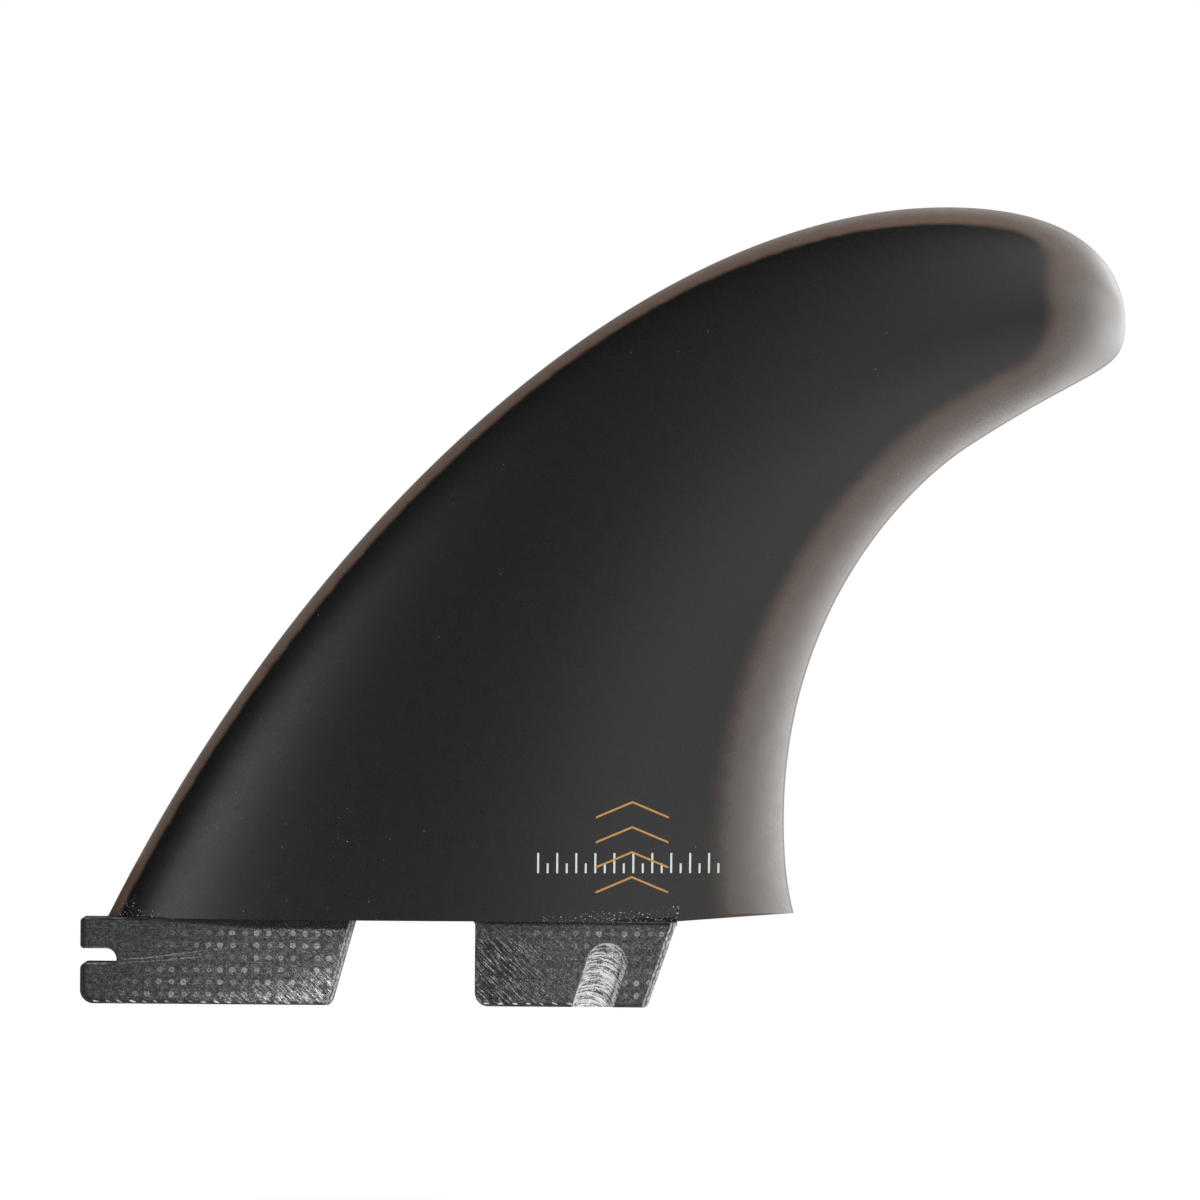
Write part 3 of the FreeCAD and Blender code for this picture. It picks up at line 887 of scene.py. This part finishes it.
def makeBeads():
    work = bmesh.new()
    work.from_mesh(blade.data)
    tree = BVHTree.FromBMesh(work)
    work.free()
    points, faces = beadStrip(tree, beadSizes["rearFrom"], beadSizes["rearTo"],
                              beadSizes["rearHeight"], 1.0)
    more, moreFaces = beadStrip(tree, beadSizes["frontFrom"], beadSizes["frontTo"],
                                beadSizes["frontHeight"], 4.0)
    first = len(points)
    faces += [tuple(first + corner for corner in face) for face in moreFaces]
    mesh = bpy.data.meshes.new("resinBeads")
    mesh.from_pydata(points + more, [], faces)
    closeEnds(mesh, math.radians(50))
    mesh.materials.append(glassMaterials["resinBead"])
    return mesh


beads = shown("resinBeads", makeBeads())


# bare fibres round the groove, and cut tow ends along the bottoms of the tabs
print("fibres")
tuftSizes = {
    "count": 190, "shortest": 0.12, "longest": 0.55, "girth": 0.055, "spread": 0.10,
    "lean": 1.1, "seed": 4,
}
towSizes = {
    "pitch": 1.9, "length": 1.15, "height": 0.25, "proud": 0.16, "jitter": 0.16, "seed": 11,
}


def pathMesh(name, points):
    mesh = bpy.data.meshes.new(name)
    mesh.from_pydata([Vector(spot) * mm for spot in points],
                     [(index, index + 1) for index in range(len(points) - 1)], [])
    return mesh


def makeTuftTree():
    # small bent-over fibres scattered along a path
    tree, graph, size = newTree("tufts", tuftSizes, True)
    path = graph.put("GeometryNodeMeshToCurve", None, {"Mesh": size["Geometry"]})
    points = graph.put("GeometryNodeCurveToPoints", {"mode": "COUNT"},
                       {"Curve": path, "Count": size["count"]})
    near = size["spread"] * mm
    offset = graph.randomVector(graph.vector(-near, -near * 0.4, -near),
                                graph.vector(near, near * 0.2, near), size["seed"])
    points = graph.put("GeometryNodeSetPosition", None,
                       {"Geometry": points, "Offset": offset})
    fibre = graph.put("GeometryNodeMeshCone", None,
                      {"Vertices": 6, "Side Segments": 3, "Radius Top": 0.15,
                       "Radius Bottom": 0.5, "Depth": 1.0})
    turn = graph.randomVector(graph.vector(math.pi / 2 - size["lean"] * 0.3, -1.2, -math.pi),
                              graph.vector(math.pi / 2 + size["lean"], 1.2, math.pi),
                              size["seed"] + 1.0)
    reach = graph.randomNumber(size["shortest"], size["longest"], size["seed"] + 2.0)
    scale = graph.vector(size["girth"] * mm, size["girth"] * mm, reach * mm)
    made = graph.put("GeometryNodeInstanceOnPoints", None,
                     {"Points": points, "Instance": fibre, "Rotation": turn, "Scale": scale})
    finishTree(graph, made, glassMaterials["bareGlassFibre"])
    return tree


def grooveRim(stepCount=40):
    # up the left side of the groove, round its end and a little way down the right
    lean = math.radians(grooveSizes["slant"])
    downX = -math.sin(lean)
    downZ = -math.cos(lean)
    sideX = math.cos(lean)
    sideZ = -math.sin(lean)
    length = (grooveSizes["z"] - grooveSizes["bottom"]) / math.cos(lean)
    spots = []

    def add(side, down):
        spots.append((grooveSizes["x"] + sideX * side + downX * down,
                      grooveSizes["face"],
                      grooveSizes["z"] + sideZ * side + downZ * down))

    for step in range(stepCount):
        add(-grooveSizes["radius"], length * (1 - step / stepCount))
    for step in range(stepCount + 1):
        turn = math.pi * step / stepCount
        add(-grooveSizes["radius"] * math.cos(turn), -grooveSizes["radius"] * math.sin(turn))
    return spots


dress(grown("grooveTufts", makeTuftTree(), tuftSizes, pathMesh("grooveRim", grooveRim())))


def makeTowTree():
    # flat cut ends of the tows, one for each pitch of the cloth
    tree, graph, size = newTree("towEnds", towSizes, True)
    path = graph.put("GeometryNodeMeshToCurve", None, {"Mesh": size["Geometry"]})
    points = graph.put("GeometryNodeCurveToPoints", {"mode": "LENGTH"},
                       {"Curve": path, "Length": size["pitch"] * mm})
    shift = size["jitter"] * mm
    offset = graph.randomVector(graph.vector(-shift, 0.0, -shift * 0.25),
                                graph.vector(shift, 0.0, shift * 0.5), size["seed"])
    points = graph.put("GeometryNodeSetPosition", None,
                       {"Geometry": points, "Offset": offset})
    ball = graph.put("GeometryNodeMeshIcoSphere", None, {"Radius": 0.5, "Subdivisions": 2})
    turn = graph.randomVector(graph.vector(0.0, -0.05, 0.0), graph.vector(0.0, 0.45, 0.0),
                              size["seed"] + 1.0)
    share = graph.randomNumber(0.7, 1.1, size["seed"] + 2.0)
    scale = graph.vector(size["length"] * mm * share, size["proud"] * mm,
                         size["height"] * mm * share)
    made = graph.put("GeometryNodeInstanceOnPoints", None,
                     {"Points": points, "Instance": ball, "Rotation": turn, "Scale": scale})
    made = graph.put("GeometryNodeSetShadeSmooth", None, {"Geometry": made})
    finishTree(graph, made, glassMaterials["cutTowEnds"])
    return tree


towTree = makeTowTree()
dress(grown("frontTowEnds", towTree, towSizes,
            pathMesh("frontBottom", [(-51.0, -3.06, -13.28), (-14.6, -3.06, -13.28)])))
dress(grown("rearTowEnds", towTree, dict(towSizes, seed=23),
            pathMesh("rearBottom", [(11.6, -3.06, -13.20), (24.6, -3.06, -13.20)])))


# specks of glass and dust in the resin
print("specks")
# density: how many for each square metre
speckSizes = {"density": 900000.0, "smallest": 0.06, "largest": 0.22, "seed": 7}


def makeSpeckTree():
    tree, graph, size = newTree("specks", speckSizes, True)
    points = graph.put("GeometryNodeDistributePointsOnFaces", None,
                       {"Mesh": size["Geometry"], "Density": size["density"],
                        "Seed": size["seed"]})
    grit = graph.put("GeometryNodeMeshIcoSphere", None, {"Radius": 0.5, "Subdivisions": 1})
    turn = graph.randomVector((0.0, 0.0, 0.0), (6.28, 6.28, 6.28), size["seed"] + 1.0)
    share = graph.randomNumber(0.0, 1.0, size["seed"] + 2.0)
    width = (size["smallest"] + (size["largest"] - size["smallest"]) * share ** 2.2) * mm
    made = graph.put("GeometryNodeInstanceOnPoints", None,
                     {"Points": points, "Instance": grit, "Rotation": turn,
                      "Scale": graph.vector(width, width * 0.6, width * 0.8)})
    finishTree(graph, made, glassMaterials["resinSpecks"])
    return tree


def outerPatch(name, source, inside):
    # the outer-face polygons of a piece whose middles pass a test in millimetres
    work = bmesh.new()
    work.from_mesh(source)
    lost = []
    for face in work.faces:
        middle = face.calc_center_median() / mm
        if face.normal.y > -0.3 or len(face.verts) > 8 or not inside(middle.x, middle.z):
            lost.append(face)
    bmesh.ops.delete(work, geom=lost, context="FACES")
    mesh = bpy.data.meshes.new(name)
    work.to_mesh(mesh)
    work.free()
    return mesh


speckTree = makeSpeckTree()
speckPatches = [
    # piece, the mesh it lies on, where by x and z, how many per square metre, largest, seed
    ("rootSpecks", blade.data,
     lambda x, z: max(-48.3, -48.1 + z * 0.49) < x < -44.6 and z < 3.0, 5500000.0, 0.24, 7),
    ("rootEndSpecks", blade.data,
     lambda x, z: -44.6 < x < -41.0 and z < 0.9, 6000000.0, 0.25, 31),
    ("lowerSpecks", blade.data,
     lambda x, z: -38 < x < 6 and z < 42 and x + z < 8, 40000.0, 0.26, 3),
    ("upperSpecks", blade.data,
     lambda x, z: -30 < x < 90 and 12 < z < 95, 3500.0, 0.24, 19),
    ("rearSpecks", blade.data,
     lambda x, z: 20 < x < 42 and z < min(2.0, (x - 16) * 0.12), 5000000.0, 0.28, 13),
    ("beadSpecks", beads.data,
     lambda x, z: 24 < x < 41.7 and -0.1 < z < 2.0, 9000000.0, 0.26, 5),
]
for patchName, patchSource, patchTest, density, largest, seed in speckPatches:
    patch = outerPatch(patchName, patchSource, patchTest)
    sizes = dict(speckSizes, density=density, largest=largest, seed=seed)
    dress(grown(patchName, speckTree, sizes, patch))


# floor, light and camera
print("stage")
floorSizes = {"below": 52.0, "radius": 340.0, "corners": 96, "colour": 0.9, "glow": 0.58}


def makeFloor():
    # a pale round table that is as white as what lies behind it, but for the shadow
    mesh = bpy.data.meshes.new("floor")
    work = bmesh.new()
    bmesh.ops.create_circle(work, cap_ends=True, segments=floorSizes["corners"],
                            radius=floorSizes["radius"] * mm)
    bmesh.ops.translate(work, verts=work.verts, vec=(0, 0, -floorSizes["below"] * mm))
    work.to_mesh(mesh)
    work.free()
    floor = bpy.data.objects.new("floor", mesh)
    scene.collection.objects.link(floor)
    material = bpy.data.materials.new("paleFloor")
    material.use_nodes = True
    shader = material.node_tree.nodes["Principled BSDF"]
    shader.inputs["Base Color"].default_value = gray(floorSizes["colour"])
    shader.inputs["Roughness"].default_value = 0.9
    shader.inputs["Specular IOR Level"].default_value = 0.1
    shader.inputs["Emission Color"].default_value = gray(1.0)
    shader.inputs["Emission Strength"].default_value = floorSizes["glow"]
    mesh.materials.append(material)


roomLook = {
    # brightness from left to right and from below to overhead, by the direction looked in
    "sideways": (0.03, (0.07, -0.80, -0.45), (0.68, 0.0, 0.28), (0.46, 0.18, 0.42)),
    "upward": (0.62, (0.75, -0.04, 0.18), (-0.85, 0.35, 0.80)),
    # more from low down on the left
    "low": 0.45, "lowFrom": (-0.12, -0.30), "lowAlong": (-0.45, -0.05),
}


def makeWorld():
    # white behind the object; around it a soft studio, darker to the left and overhead
    world = bpy.data.worlds.new("studio")
    scene.world = world
    world.use_nodes = True
    graph = Graph(world.node_tree)
    background = world.node_tree.nodes["Background"]
    x, y, z = graph.split(graph.put("ShaderNodeTexCoord", output="Generated"))
    room = graph.follow(roomLook["sideways"], x) * graph.follow(roomLook["upward"], z) \
        + roomLook["low"] * graph.step(z, *roomLook["lowFrom"]) \
        * graph.step(x, *roomLook["lowAlong"])
    camera = graph.put("ShaderNodeLightPath", output="Is Camera Ray")
    graph.feed(background.inputs["Strength"], room + (1.0 - room) * camera)
    background.inputs["Color"].default_value = gray(1.0)


lamps = {
    # place and target in metres, width and height, brightness, whether it shows in gloss
    "topLamp": ((0.45, -1.0, 1.15), (0.03, 0, 0.03), 1.1, 1.1, 3.7, False),
    "lowLeftLamp": ((-0.50, -0.90, 0.05), (-0.02, 0, 0.03), 0.22, 0.56, 3.2, True),
    "nearRightLamp": ((0.25, -0.42, 0.19), (0.09, 0, 0.095), 0.22, 0.26, 0.75, True),
}


def addLamp(name, place, target, width, height, radiance, glossy):
    # a soft lamp with a given brightness of its face
    lamp = bpy.data.lights.new(name, "AREA")
    lamp.shape = "RECTANGLE"
    lamp.size = width
    lamp.size_y = height
    lamp.energy = radiance * math.pi * width * height
    holder = bpy.data.objects.new(name, lamp)
    scene.collection.objects.link(holder)
    holder.location = place
    holder.visible_glossy = glossy
    holder.rotation_euler = (Vector(target) - Vector(place)).to_track_quat("-Z", "Y").to_euler()


cameraPlan = {
    "distance": 900.0, "middle": (29.1, 51.4), "frameWidth": 192.4, "roll": 0.45,
    "sensor": 36.0,
}


def makeCamera():
    # level with the blade and square to it, with a long lens
    data = bpy.data.cameras.new("camera")
    data.sensor_width = cameraPlan["sensor"]
    data.lens = cameraPlan["sensor"] * cameraPlan["distance"] / cameraPlan["frameWidth"]
    camera = bpy.data.objects.new("camera", data)
    scene.collection.objects.link(camera)
    middleX, middleZ = cameraPlan["middle"]
    camera.location = Vector((middleX, -cameraPlan["distance"], middleZ)) * mm
    camera.rotation_euler = (math.radians(90), math.radians(-cameraPlan["roll"]), 0)
    scene.camera = camera


makeFloor()
makeWorld()
for lampName, plan in lamps.items():
    addLamp(lampName, *plan)
makeCamera()
scene.view_settings.view_transform = "Standard"
